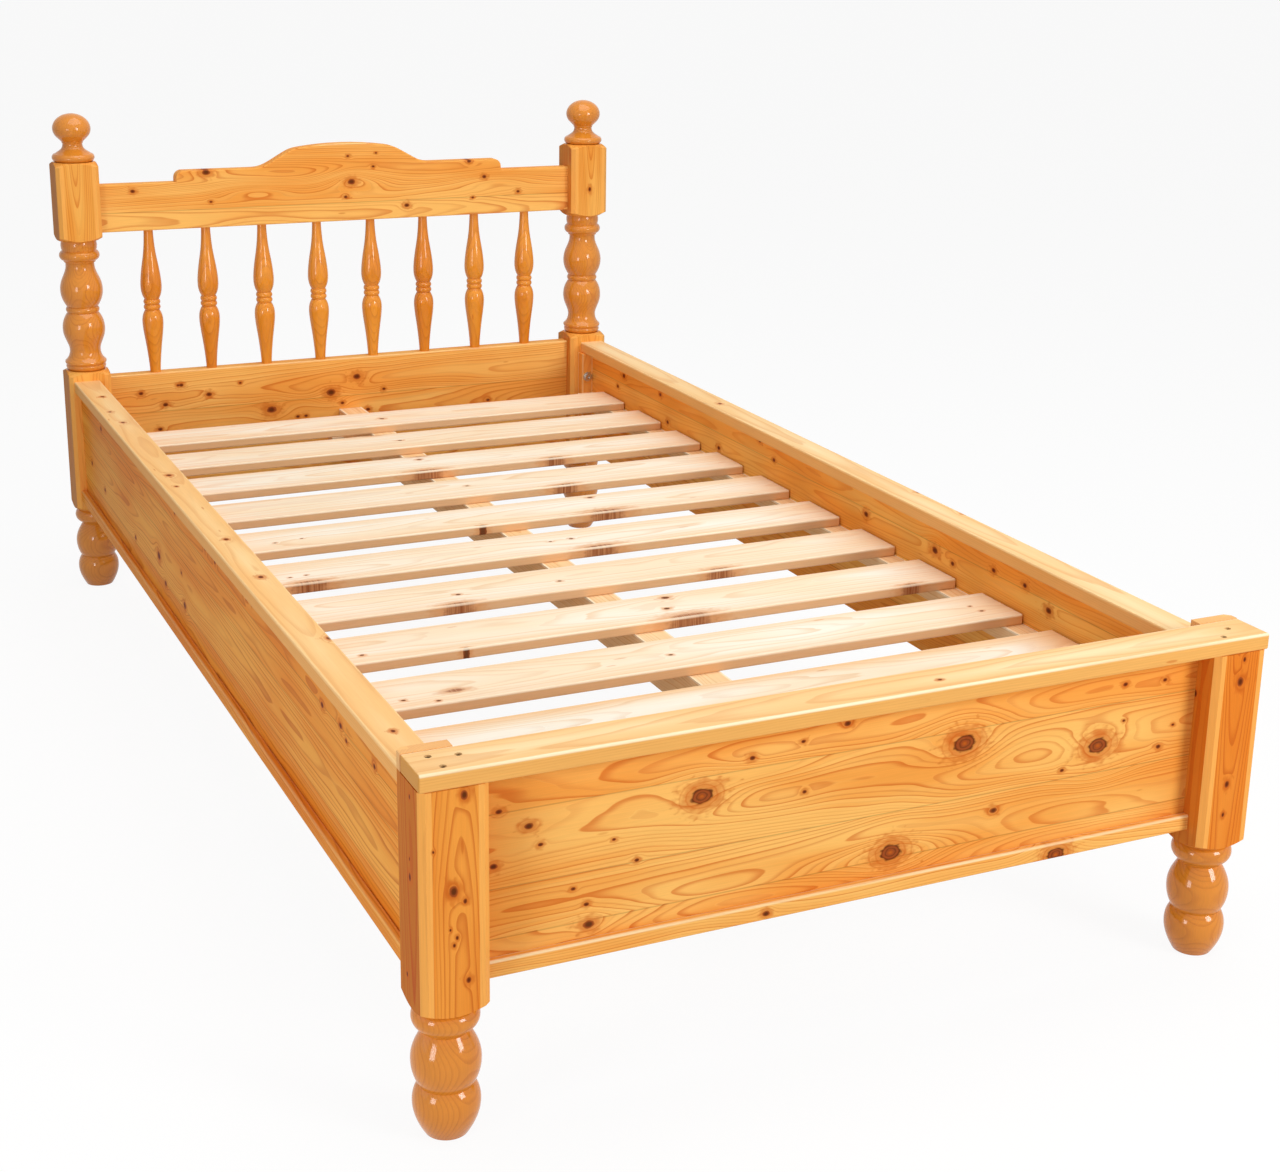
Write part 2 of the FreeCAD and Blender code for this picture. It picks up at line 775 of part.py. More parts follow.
def corner_inserts():
    inserts = []
    for side_name, end_name, point, direction in corner_bolt_places():
        mouth = point + direction * cleat_size
        sleeve = rod(mouth, direction, insert_radius, insert_length)
        inserts.append(sleeve.cut(rod(mouth, direction, bolt_radius + pin_clearance, insert_length)))
    return Part.makeCompound(inserts)


# ---- the bed

nodes = {
    "headboard_panel": headboard_panel(),
    "headboard_top_rail": headboard_top_rail(),
    "foot_panel": foot_panel(),
    "foot_cap": foot_cap(),
    "foot_cap_screws": foot_cap_screws(),
    "foot_ledge": foot_ledge(),
    "centre_rail": centre_rail(),
    "centre_rail_bearer_foot": centre_rail_bearer(foot_panel_back, foot_panel_back + bearer_depth),
    "centre_rail_bearer_head": centre_rail_bearer(head_panel_front - bearer_depth, head_panel_front),
    "centre_rail_pins": centre_rail_pins(),
    "bearer_screws": bearer_screws(),
    "ledger_screws": ledger_screws(),
    "slat_pegs": slat_pegs(),
    "corner_bolts": corner_bolts(),
    "corner_washers": corner_washers(),
    "corner_inserts": corner_inserts(),
}
for side_name, side in SIDES.items():
    nodes[f"head_post_{side_name}"] = head_post(side_name)
    nodes[f"foot_post_{side_name}"] = foot_post(side_name)
    nodes[f"side_rail_{side_name}_panel"] = side_rail_panel(side)
    nodes[f"side_rail_{side_name}_cap"] = side_rail_cap(side)
    nodes[f"side_rail_{side_name}_ledge"] = side_rail_ledge(side)
    nodes[f"slat_ledger_{side_name}"] = slat_ledger(side)
    nodes[f"corner_cleat_foot_{side_name}"] = corner_cleat(side, post_size, foot_cleat_face)
    nodes[f"corner_cleat_head_{side_name}"] = corner_cleat(side, head_post_front, head_cleat_face)
for number, x in enumerate(spindle_places(), 1):
    nodes[f"spindle_{number}"] = spindle(x)
for number in range(slat_count):
    nodes[f"slat_{number + 1:02d}"] = slat(number)

os.makedirs("parts", exist_ok=True)
for name, shape in nodes.items():
    shape.exportStep(f"parts/{name}.step")
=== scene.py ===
import math
import random

import bpy
from mathutils import Matrix, Vector


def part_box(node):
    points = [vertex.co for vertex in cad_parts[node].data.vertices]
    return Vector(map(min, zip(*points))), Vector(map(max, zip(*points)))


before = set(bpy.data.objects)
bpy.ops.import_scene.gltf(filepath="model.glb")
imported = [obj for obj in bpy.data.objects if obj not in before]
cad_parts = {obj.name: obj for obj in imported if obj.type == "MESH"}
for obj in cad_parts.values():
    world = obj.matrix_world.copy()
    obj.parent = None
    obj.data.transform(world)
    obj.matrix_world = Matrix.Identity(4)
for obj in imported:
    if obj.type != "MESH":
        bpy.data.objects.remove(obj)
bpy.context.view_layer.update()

# A pine spindle bed. Every CAD node keeps its shape and gets wood or metal of its own. The wood is a
# solid field in the row frame, in metres: year rings round a pith line, which bend round the knots.

X, Y, Z = 0, 1, 2
SPINDLES = 8
SLATS = 11


def srgb(red, green, blue):
    """A colour written as 0 to 255 on a screen, as the linear colour that a shader takes."""
    levels = (level / 255 for level in (red, green, blue))
    return tuple(level / 12.92 if level <= 0.04045 else ((level + 0.055) / 1.055) ** 2.4
                 for level in levels) + (1.0,)


# Pine finishes. pale and warm are the early wood, late the ring lines; halo, core and rim are knots;
# worn is for the edges, which are worn and carry a painted highlight, flank is painted shade on the
# narrow faces, end is for the sawn ends and shade is painted shade at the margins. ring is how far
# apart the rings are, in metres, and lines how strong they are. rough is the wood's roughness, coat how
# much lacquer it has and gleam how rough that is. arris is how much wear and painted highlight the
# edges have, and margin how much painted shade a board has towards its edges and ends.
HONEY = {
    "pale": srgb(252, 194, 106), "warm": srgb(243, 162, 72), "late": srgb(206, 90, 18),
    "halo": srgb(204, 100, 26), "core": srgb(150, 66, 28), "rim": srgb(74, 26, 8),
    "worn": srgb(255, 226, 172), "flank_shade": srgb(236, 160, 76), "end": srgb(210, 134, 62),
    "ring": 0.0029, "lines": 0.66, "rough": 0.42, "coat": 0.12, "gleam": 0.22, "arris_wear_and_highlight": 0.45,
    "margin_shading": 0.0,
}
SLAT = {
    "pale": srgb(255, 248, 232), "warm": srgb(253, 232, 200), "late": srgb(234, 184, 132),
    "halo": srgb(222, 152, 94), "core": srgb(134, 62, 30), "rim": srgb(90, 40, 18),
    "worn": srgb(255, 240, 212), "flank_shade": srgb(230, 178, 124), "end": srgb(206, 146, 90),
    "shade": srgb(248, 206, 158), "ring": 0.0038, "lines": 0.42, "rough": 0.66, "coat": 0.03,
    "gleam": 0.22, "arris_wear_and_highlight": 0.85, "margin_shading": 0.5,
}
# The foot panel has painted shade towards its edges and ends, as under the cap
FOOT_PANEL = dict(HONEY, shade=srgb(234, 148, 58), margin_shading=0.7)
CAP = dict(HONEY, pale=srgb(255, 230, 182), warm=srgb(251, 208, 146), late=srgb(222, 146, 78),
           flank_shade=srgb(236, 166, 82), shade=srgb(247, 196, 130), lines=0.45, margin_shading=0.5)
# The foot cap: painted shade on its front and back faces and at its margins, and a painted highlight with
# wear along its upper edges
FRONT_CAP = dict(CAP, flank_shade=srgb(238, 174, 88), worn=srgb(255, 238, 200), end=srgb(202, 140, 62),
                 arris_wear_and_highlight=1.0, margin_shading=0.8)
# A darker copy of the cap for the left side of the bed: painted shade
SHADED_CAP = dict(CAP, pale=srgb(255, 226, 170), warm=srgb(252, 202, 136), shade=srgb(246, 186, 114))
# The ledges: a painted highlight, with wear, along their upper edges
LEDGE = dict(HONEY, worn=srgb(255, 234, 188), arris_wear_and_highlight=0.8)
# The posts: their darker narrow-face colour is painted shade on their sides
POST = dict(HONEY, pale=srgb(240, 156, 64), warm=srgb(228, 128, 40), late=srgb(184, 70, 10),
            flank_shade=srgb(178, 98, 22), gleam=0.1)
HEAD = dict(HONEY, pale=srgb(248, 184, 92), warm=srgb(236, 152, 60), flank_shade=srgb(182, 112, 50),
            lines=0.55, gleam=0.1)
TURNED = dict(HONEY, pale=srgb(240, 158, 54), warm=srgb(224, 134, 38), late=srgb(170, 82, 20),
              lines=0.3, rough=0.32, coat=0.72, gleam=0.1)
# SHADED and SHADED_LEDGE are darker copies for the left side rail, painted shade; LIT is a lighter copy
# for the right rail, painted light
SHADED = dict(HONEY, pale=srgb(246, 174, 78), warm=srgb(234, 140, 46), late=srgb(182, 80, 16),
              lines=0.6)
SHADED_LEDGE = dict(SHADED, arris_wear_and_highlight=0.2)
LIT = dict(HONEY, pale=srgb(255, 198, 104), warm=srgb(247, 162, 66), late=srgb(210, 100, 26), lines=0.45)
# The second slat, beside the cap, with more painted shade at its margins
SHADED_SLAT = dict(SLAT, margin_shading=1.0)
RAW = dict(SLAT, pale=srgb(250, 222, 176), warm=srgb(244, 200, 142), late=srgb(218, 156, 94))

# The early wood of the posts: the sapwood in their corners, and their turned parts
SAP = srgb(250, 180, 92)
SPIN = srgb(222, 138, 42)

# Metals, and the dark screws, as linear colours
BOLT = (0.60, 0.59, 0.57, 1.0)
WASHER = (0.62, 0.61, 0.58, 1.0)
INSERT = (0.45, 0.42, 0.36, 1.0)
SCREW = (0.014, 0.007, 0.004, 1.0)

# Cells a metre of the noise in the wood: along the grain, across the board and through it
SWAY_CELLS = (2.8, 12.0, 12.0)
RIPPLE_CELLS = (9.0, 60.0, 60.0)
BROAD_CELLS = (3.0, 16.0, 16.0)
FIBRE_CELLS = (22.0, 700.0, 700.0)
FLECK_CELLS = (9.0, 46.0, 46.0)
GRIT_CELLS = (110.0, 210.0, 210.0)
STREAK_CELLS = (520.0, 14.0, 14.0)

# The same of the noise in metal, along X, Y and Z
SCRATCH_CELLS = (420.0, 420.0, 2600.0)
CLOUD_CELLS = (260.0, 260.0, 260.0)

# How far from its seams or edges, in metres, a board has a detail: none at the first, full at the second
SEAM_REACH = (0.0011, 0.0004)
MARGIN_REACH = (0.034, 0.002)
FLANK_REACH = (0.0016, 0.0006)
SAWN_REACH = (0.0016, 0.0004)
ARRIS_REACH = (0.0038, 0.0014)

# The distance to a board's ends counts this much for the painted shade at its margins, so that it runs
# further in there
END_MARGIN = 0.3

# The turned lengths of the posts, from and to, in metres above the floor: the foot posts have the first
# alone. TURNING_BLUR is half the height over which the tone changes.
FOOT_TURNING = (-0.01, 0.1505)
VASE_TURNING = (0.4115, 0.6485)
FINIAL_TURNING = (0.7875, 0.9)
TURNING_BLUR = 0.0005

# How far from a post's middle its sapwood starts, sideways and to the front
SAP_BESIDE = (0.0243, 0.0249)
SAP_BEFORE = (0.0303, 0.0309)

# Where the foot posts are cut down to a pale stub: above the foot panel, at the foot end of the bed
STUB_ABOVE = (0.4045, 0.4055)
FOOT_END = (-0.6, -0.7)

# Where the late wood of a ring begins and where it stops, in parts of the ring, and the faintest year
LATE_START = (0.5, 0.92)
LATE_STOP = (1.0, 0.94)
FAINTEST_YEAR = 0.3

# How far the heart is off the middle, at most, as a part of the width of a board or of a strip of it
HEART_ASIDE = 0.2
STRIP_ASIDE = 0.25

# The flecks of resin: the distance from a cell's middle where they stop and start, and which cells
FLECK_REACH = (0.085, 0.045)
FLECK_CHOICE = (0.62, 0.7)

# The edges are worn and carry a painted highlight in patches of the broad noise, and elsewhere by
# LEAST_WEAR_AND_HIGHLIGHT
WEAR_AND_HIGHLIGHT_PATCHES = (0.2, 0.6)
LEAST_WEAR_AND_HIGHLIGHT = 0.4

# The relief of wood and of steel: its height in metres, and its strength
WOOD_RELIEF = (0.0004, 0.35)
STEEL_RELIEF = (0.0001, 0.2)
LACQUER_IOR = 1.45

# From these radii, in millimetres, a knot bends the grain further, or shows rings and a rim
WIDE_KNOT = 5.0
LARGE_KNOT = 7.0

# How much longer along the grain a knot is, cut across and cut lengthwise
KNOT_STRETCH = 1.4
SPIKE_STRETCH = 2.6

# The grain at a knot: over which squared distance it bends, how much of the way it goes round, and how
# many rings the knot adds, at most and a millimetre of its radius
WIDE_SPREAD = 16.0
SPREAD = 8.0
WAY_ROUND = 0.85
MOST_RINGS = 3.4
RINGS_A_MILLIMETRE = 0.4

# Where the parts of a knot stop and start, as squared distances from its middle with 1 at its edge
HALO_REACH = (9.0, 0.8)
CORE_REACH = (1.4, 0.8)
DARK_REACH = (0.8, 0.1)

# The same of a large knot, and of a knot sawn lengthwise
ARCS_REACH = (10.0, 3.0)
EYE_REACH = (0.1, 0.0)
RIM_REACH = (0.55, 1.0)
LARGE_REACH = (1.8, 1.5)
SPIKE_HALO_REACH = (6.0, 0.6)
SPIKE_CORE_REACH = (1.6, 0.1)

# The strength of the world's fill light. FLOOR_GREY is the shade of the floor. To the rays that see the
# background it is paler by FLOOR_PALER, and FLOOR_WHITE is how much of it is plain white.
FILL_STRENGTH = 0.29
FLOOR_GREY = 0.68
FLOOR_PALER = 0.28
FLOOR_WHITE = 0.92

# Each lamp's place, the point that it faces, its width and height, all in metres, and its power in watts
LAMPS = {
    "lamp_right": ((1.7, -3.5, 1.6), (0.0, -0.5, 0.25), 1.1, 1.2, 62.0),
    "lamp_left": ((-2.5, -1.9, 0.7), (-0.5, -0.8, 0.25), 0.7, 0.9, 19.5),
    "lamp_side": ((-2.0, -0.45, 0.6), (-0.53, -0.45, 0.28), 1.0, 0.6, 1.0),
    "lamp_top": ((0.2, -0.2, 3.3), (0.0, 0.0, 0.3), 3.0, 2.8, 71.0),
}

# Knots: place along the grain, place across it (both in metres), and radius in millimetres
KNOTS = {
    "foot_panel": (
        (0.129, 0.336, 9.5), (0.317, 0.302, 9.0), (-0.203, 0.330, 8.5), (0.038, 0.218, 9.0),
        (-0.401, 0.332, 3.5), (-0.434, 0.354, 2.5), (-0.388, 0.309, 2.0), (-0.333, 0.206, 4.5),
        (-0.278, 0.270, 2.0), (-0.336, 0.230, 2.2), (-0.351, 0.251, 1.8), (-0.440, 0.294, 3.0),
        (-0.305, 0.299, 1.5), (-0.143, 0.364, 2.5), (-0.026, 0.385, 3.0), (0.407, 0.286, 2.5),
        (0.408, 0.371, 2.0), (0.352, 0.395, 1.8), (0.268, 0.279, 2.0), (0.175, 0.245, 3.2),
        (-0.077, 0.313, 2.0), (0.352, 0.328, 1.6), (0.426, 0.311, 1.6), (0.350, 0.374, 2.4),
        (-0.081, 0.373, 2.0),
    ),
    "foot_ledge": (
        (0.261, 0.177, 8.0), (-0.125, 0.180, 3.0),
    ),
    "foot_cap": (
        (0.083, -0.985, 2.0),
    ),
    "foot_post_left": (
        (0.396, -0.483, 3.5), (0.293, -0.495, 4.2), (0.280, -0.483, 2.0), (0.191, -0.480, 2.4),
        (0.241, -0.492, 1.6), (0.233, -0.495, 1.6), (0.251, -0.499, 1.2), (0.340, -0.516, 1.2),
    ),
    "foot_post_left_side": (
        (0.301, -0.976, 3.2), (0.185, -0.962, 2.2), (0.321, -0.976, 1.6), (0.390, -0.979, 2.0),
    ),
    "foot_post_right": (
        (0.396, 0.495, 2.0), (0.368, 0.492, 4.0), (0.237, 0.488, 3.0), (0.197, 0.487, 2.0),
    ),
    "foot_post_right_side": (
        (0.396, -0.981, 2.0), (0.347, -0.975, 3.0),
    ),
    "side_rail_left_panel": (
        (0.745, 0.353, 4.0), (0.857, 0.263, 3.5), (0.740, 0.244, 3.5), (-0.030, 0.365, 3.5),
        (-0.071, 0.379, 2.5), (-0.089, 0.362, 3.0), (-0.263, 0.366, 3.5), (-0.609, 0.346, 3.5),
        (-0.682, 0.348, 3.5), (-0.703, 0.338, 2.5), (-0.807, 0.349, 3.0), (0.481, 0.232, 3.5),
        (0.296, 0.256, 6.0), (0.255, 0.223, 4.0), (0.136, 0.277, 2.5), (0.123, 0.230, 5.0),
        (0.163, 0.363, 2.5),
    ),
    "side_rail_left_cap": (
        (0.803, -0.496, 3.0), (0.687, -0.505, 2.5), (0.606, -0.499, 3.0), (0.253, -0.499, 3.5),
        (0.188, -0.502, 2.0), (-0.098, -0.497, 3.0), (-0.275, -0.495, 3.5), (-0.529, -0.478, 3.5),
        (-0.828, -0.497, 2.5),
    ),
    "headboard_panel": (
        (-0.399, 0.359, 3.0), (-0.355, 0.334, 3.5), (-0.367, 0.288, 3.0), (-0.330, 0.369, 2.0),
        (-0.015, 0.308, 2.5), (0.036, 0.291, 3.0), (0.037, 0.277, 3.5), (-0.088, 0.289, 2.5),
        (0.285, 0.288, 2.5), (0.015, 0.358, 5.0), (-0.037, 0.331, 6.0), (-0.155, 0.307, 6.0),
        (-0.273, 0.347, 3.5), (-0.324, 0.369, 3.0), (-0.213, 0.364, 2.0), (-0.104, 0.289, 2.5),
        (0.069, 0.329, 2.5),
    ),
    "headboard_top_rail": (
        (0.014, 0.733, 5.0), (-0.260, 0.761, 5.0), (0.249, 0.763, 3.0), (0.280, 0.732, 3.0),
        (0.350, 0.701, 2.5), (0.122, 0.684, 3.5), (0.002, 0.705, 2.5), (0.256, 0.693, 2.0),
        (0.008, 0.781, 2.0), (0.063, 0.785, 1.5), (0.057, 0.760, 2.0), (-0.253, 0.707, 2.0),
        (-0.394, 0.732, 3.0),
    ),
    "head_post_right": (
        (0.702, 0.492, 3.0),
    ),
    "side_rail_right_panel": (
        (0.759, 0.363, 4.0), (0.787, 0.336, 3.0), (0.594, 0.362, 3.0), (0.560, 0.317, 3.0),
        (0.350, 0.319, 3.5), (0.199, 0.369, 3.0), (0.147, 0.348, 3.0), (-0.154, 0.337, 4.0),
        (-0.350, 0.336, 5.0), (-0.397, 0.330, 3.0), (-0.531, 0.384, 3.0), (-0.619, 0.386, 3.0),
        (-0.499, 0.351, 3.0), (-0.574, 0.352, 3.0), (-0.631, 0.334, 4.0),
    ),
    "side_rail_right_cap": (
        (0.364, 0.499, 3.0), (-0.253, 0.521, 3.0), (-0.373, 0.524, 3.5), (-0.648, 0.529, 3.0),
    ),
    "slat_03": (
        (-0.356, -0.569, 2.0), (-0.395, -0.552, 2.0), (0.440, -0.522, 1.5), (0.444, -0.545, 2.0),
        (-0.028, -0.535, 2.2),
    ),
    "slat_04": (
        (-0.395, -0.385, 2.0), (0.045, -0.371, 3.0), (0.062, -0.329, 4.0), (-0.263, -0.412, 3.0),
    ),
    "slat_05": (
        (-0.200, -0.207, 2.5), (-0.046, -0.206, 2.0),
    ),
    "slat_06": (
        (-0.396, -0.047, 1.5), (-0.372, -0.045, 1.5), (0.048, -0.026, 2.2), (0.013, -0.028, 1.6),
    ),
    "slat_07": (
        (-0.373, 0.120, 1.5), (-0.330, 0.127, 1.5), (0.164, 0.169, 3.0), (-0.053, 0.086, 4.0),
    ),
    "slat_08": (
        (0.002, 0.307, 2.0),
    ),
    "slat_09": (
        (-0.018, 0.494, 3.0),
    ),
    "slat_10": (
        (-0.007, 0.631, 2.5),
    ),
    "slat_11": (
        (0.012, 0.796, 3.0),
    ),
}

# Long closed figures of the grain: their middle along it and across it, their half length and half
# height (all in metres), and how many rings they hold
FIGURES = {
    "foot_panel": (
        (-0.40, 0.330, 0.12, 0.022, 5.0), (-0.34, 0.206, 0.11, 0.020, 6.0),
        (-0.12, 0.345, 0.10, 0.014, 4.0), (0.02, 0.216, 0.14, 0.020, 6.0),
        (0.43, 0.222, 0.12, 0.020, 6.0),
    ),
    "headboard_top_rail": (
        (0.02, 0.733, 0.065, 0.020, 7.0), (-0.17, 0.722, 0.07, 0.013, 5.0),
        (0.30, 0.724, 0.09, 0.015, 5.0),
    ),
}

# Knots sawn lengthwise, which lie along the edge of a slat: the same places, and half their height
SPIKES = {
    "slat_03": (
        (-0.327, -0.545, 5.0),
    ),
    "slat_04": (
        (0.061, -0.412, 12.0), (0.414, -0.412, 6.0),
    ),
    "slat_05": (
        (-0.213, -0.246, 8.0), (0.191, -0.246, 8.0),
    ),
    "slat_06": (
        (0.075, -0.080, 10.0), (-0.374, -0.080, 9.0),
    ),
    "slat_07": (
        (0.159, 0.086, 11.0),
    ),
    "slat_08": (
        (0.156, 0.252, 8.0),
    ),
    "slat_09": (
        (-0.012, 0.518, 6.0), (-0.028, 0.418, 10.0), (0.206, 0.418, 7.0),
    ),
    "slat_10": (
        (-0.043, 0.684, 5.0),
    ),
}


# ---- shader arithmetic

class Num:
    """A number that varies over a surface. Arithmetic on it adds Math nodes to its material."""

    def __init__(self, tree, socket):
        self.tree = tree
        self.socket = socket

    def __add__(self, other):
        return maths(self.tree, "ADD", self, other)

    def __sub__(self, other):
        return maths(self.tree, "SUBTRACT", self, other)

    def __rsub__(self, other):
        return maths(self.tree, "SUBTRACT", other, self)

    def __mul__(self, other):
        return maths(self.tree, "MULTIPLY", self, other)

    def __abs__(self):
        return maths(self.tree, "ABSOLUTE", self)


def wire(tree, value, socket):
    """Puts a Num, a socket or a plain value into an input socket."""
    if isinstance(value, Num):
        tree.links.new(value.socket, socket)
    elif isinstance(value, bpy.types.NodeSocket):
        tree.links.new(value, socket)
    else:
        socket.default_value = value


def maths(tree, operation, *values):
    node = tree.nodes.new("ShaderNodeMath")
    node.operation = operation
    for value, socket in zip(values, node.inputs):
        wire(tree, value, socket)
    return Num(tree, node.outputs[0])


def least(first, *others):
    for other in others:
        first = maths(first.tree, "MINIMUM", first, other)
    return first


def most(first, *others):
    for other in others:
        first = maths(first.tree, "MAXIMUM", first, other)
    return first


def smooth(value, low, high):
    """0 below low and 1 above high, smooth between; the other way round where low is the larger."""
    node = value.tree.nodes.new("ShaderNodeMapRange")
    node.interpolation_type = "SMOOTHSTEP"
    for name, level in (("From Min", low), ("From Max", high), ("To Min", 0.0), ("To Max", 1.0)):
        node.inputs[name].default_value = level
    wire(value.tree, value, node.inputs["Value"])
    return Num(value.tree, node.outputs["Result"])


def vector(tree, *parts):
    node = tree.nodes.new("ShaderNodeCombineXYZ")
    for part, socket in zip(parts, node.inputs):
        wire(tree, part, socket)
    return node.outputs[0]


def scaled(tree, point, scale, shift):
    node = tree.nodes.new("ShaderNodeVectorMath")
    node.operation = "MULTIPLY_ADD"
    wire(tree, point, node.inputs[0])
    node.inputs[1].default_value = scale
    node.inputs[2].default_value = shift
    return node.outputs[0]


def squared(tree, point):
    """The squared length of a vector."""
    node = tree.nodes.new("ShaderNodeVectorMath")
    node.operation = "DOT_PRODUCT"
    tree.links.new(point, node.inputs[0])
    tree.links.new(point, node.inputs[1])
    return Num(tree, node.outputs["Value"])


def noise(tree, point, scale, shift, detail=1.0):
    """Noise from 0 to 1 at a point, with so many cells a metre on each axis."""
    node = tree.nodes.new("ShaderNodeTexNoise")
    node.noise_dimensions = "3D"
    node.inputs["Scale"].default_value = 1.0
    node.inputs["Detail"].default_value = detail
    wire(tree, scaled(tree, point, scale, shift), node.inputs["Vector"])
    return Num(tree, node.outputs[0])


def mixed(tree, amount, first, second, mode="MIX"):
    node = tree.nodes.new("ShaderNodeMix")
    node.data_type = "RGBA"
    node.blend_type = mode
    wire(tree, amount, node.inputs[0])
    wire(tree, first, node.inputs[6])
    wire(tree, second, node.inputs[7])
    return node.outputs[2]


def grey(tree, level):
    """A level as a colour, to multiply by."""
    node = tree.nodes.new("ShaderNodeCombineColor")
    for socket in node.inputs[:3]:
        wire(tree, level, socket)
    return node.outputs[0]


def new_material(name):
    material = bpy.data.materials.new(name)
    material.use_nodes = True
    tree = material.node_tree
    shader = tree.nodes["Principled BSDF"]
    coordinates = tree.nodes.new("ShaderNodeTexCoord")
    return material, tree, shader, coordinates.outputs["Object"]


def dress(node_name, material):
    """Gives a CAD node one material."""
    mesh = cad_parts[node_name].data
    mesh.materials.clear()
    mesh.materials.append(material)


def bumped(tree, shader, height, distance, strength):
    bump = tree.nodes.new("ShaderNodeBump")
    bump.inputs["Distance"].default_value = distance
    bump.inputs["Strength"].default_value = strength
    wire(tree, height, bump.inputs["Height"])
    tree.links.new(bump.outputs[0], shader.inputs["Normal"])


# ---- pine

class Board:
    """The pine of one node: its material, its random choices, and where a point lies in it.

    along runs with the grain, over across the board and deep through it. beside, behind and from_end
    are the distances to its narrow faces, its broad faces and its sawn ends. All are in metres.
    """

    def __init__(self, node, grain, across):
        self.node, self.grain, self.across, self.depth = node, grain, across, 3 - grain - across
        self.material, self.tree, self.shader, place = new_material("pine_" + node)
        self.draw = random.Random("pine " + node)
        self.low, self.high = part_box(node)
        self.middle = (self.low + self.high) / 2
        split = self.tree.nodes.new("ShaderNodeSeparateXYZ")
        self.tree.links.new(place, split.inputs[0])
        self.axes = [Num(self.tree, socket) for socket in split.outputs]
        self.along, self.over, self.deep = [self.axes[way] for way in (grain, across, self.depth)]
        self.point = vector(self.tree, self.along, self.over, self.deep)
        self.drift = tuple(self.draw.uniform(-50, 50) for axis in range(3))
        self.beside, self.behind, self.from_end = [self.within(way) for way in (across, self.depth, grain)]

    def within(self, way):
        """How far a point is from the nearer side of the board's box, along one axis."""
        return least(self.axes[way] - self.low[way], self.high[way] - self.axes[way])

    def noise(self, cells, detail=1.0):
        return noise(self.tree, self.point, cells, self.drift, detail)


def glued(board, strips):
    """A glued board: the place of each strip's heart across it, its warmth, a random number, the seams.

    strips holds the start and the warmth of each strip. The first three differ from strip to strip.
    """
    tree, low, high = board.tree, board.low[board.across], board.high[board.across]
    ramp = tree.nodes.new("ShaderNodeValToRGB")
    ramp.color_ramp.interpolation = "CONSTANT"
    while len(ramp.color_ramp.elements) > 1:
        ramp.color_ramp.elements.remove(ramp.color_ramp.elements[-1])
    ends = [start for start, warmth in strips[1:]] + [high]
    for index, ((start, warmth), end) in enumerate(zip(strips, ends)):
        place = (start - low) / (high - low)
        element = ramp.color_ramp.elements[0] if index == 0 else ramp.color_ramp.elements.new(place)
        heart = (start + end) / 2 + board.draw.uniform(-STRIP_ASIDE, STRIP_ASIDE) * (end - start)
        element.position = place
        element.color = ((heart - low) / (high - low), warmth, board.draw.random(), 1.0)
    wire(tree, (board.over - low) * (1 / (high - low)), ramp.inputs[0])
    parts = tree.nodes.new("ShaderNodeSeparateColor")
    tree.links.new(ramp.outputs[0], parts.inputs[0])
    heart, warmth, chance = [Num(tree, socket) for socket in parts.outputs]
    seam = least(*[abs(board.over - start) for start in ends[:-1]])
    return heart * (high - low) + low, warmth, chance, seam


def from_knot(tree, point, knot, stretch):
    """The squared distance from a knot's middle, with 1 at its edge; it is longer along the grain."""
    along_place, over_place, radius = knot
    sizes = (1000 / (stretch * radius), 1000 / radius, 0.0)
    offset = scaled(tree, point, sizes, (-along_place * sizes[0], -over_place * sizes[1], 0.0))
    return squared(tree, offset)


def knotted(tree, point, over, knots):
    """How far the grain moves across at the knots, how many rings they add, and the nearest knot.

    The last is the squared distance from the knot's middle, for all the knots and for the large ones.
    """
    push, bulge, near, large = 0.0, 0.0, None, None
    for knot in knots:
        over_place, radius = knot[1:]
        distance = from_knot(tree, point, knot, KNOT_STRETCH)
        spread = WIDE_SPREAD if radius >= WIDE_KNOT else SPREAD
        reach = maths(tree, "POWER", math.exp(-1 / spread), distance)
        push = (over - over_place) * (reach * WAY_ROUND) + push
        bulge = reach * min(MOST_RINGS, radius * RINGS_A_MILLIMETRE) + bulge
        near = distance if near is None else least(near, distance)
        if radius >= LARGE_KNOT:
            large = distance if large is None else least(large, distance)
    return push, bulge, near, large


def figured(tree, point, figures):
    """How many rings the long figures of the grain add."""
    rings = 0.0
    for along_place, over_place, length, height, count in figures:
        offset = scaled(tree, point, (1 / length, 1 / height, 0.0),
                        (-along_place / length, -over_place / height, 0.0))
        rings = maths(tree, "POWER", math.exp(-1), squared(tree, offset)) * count + rings
    return rings


def bent_grain(board):
    """What the knots and figures of a board's broad face do to its grain, as knotted returns it."""
    push, bulge, near, large = 0.0, 0.0, None, None
    if board.node in KNOTS:
        push, bulge, near, large = knotted(board.tree, board.point, board.over, KNOTS[board.node])
    if board.node in FIGURES:
        bulge = figured(board.tree, board.point, FIGURES[board.node]) + bulge
    return push, bulge, near, large


